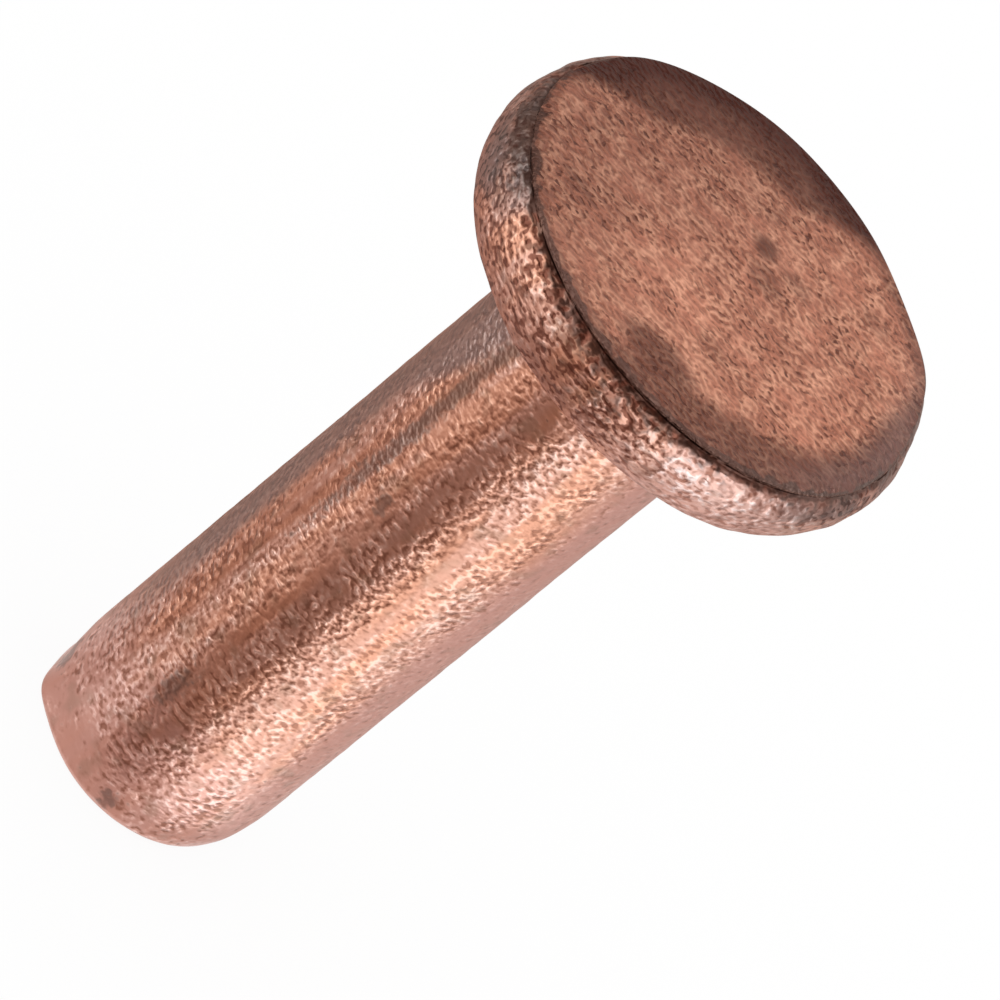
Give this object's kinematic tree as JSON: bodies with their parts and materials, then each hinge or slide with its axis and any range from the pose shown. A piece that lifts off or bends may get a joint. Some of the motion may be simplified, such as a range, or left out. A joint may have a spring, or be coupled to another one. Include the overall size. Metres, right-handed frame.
{
  "type": "flat head solid rivet",
  "caption": "Copper flat head solid rivet: its plain round shank passes through stacked parts and the free end is hammered over to clamp them under the head.",
  "frame": {"origin": "centre of the cropped end of the shank, which is the face the rivet stands on", "axes": "+Z runs along the shank towards the head; the head's struck face looks along +Z"},
  "size_m": [0.016, 0.016, 0.0278],
  "materials": {
    "copper": null
  },
  "bodies": {
    "root": {"rivet": "copper"}
  },
  "joints": []
}
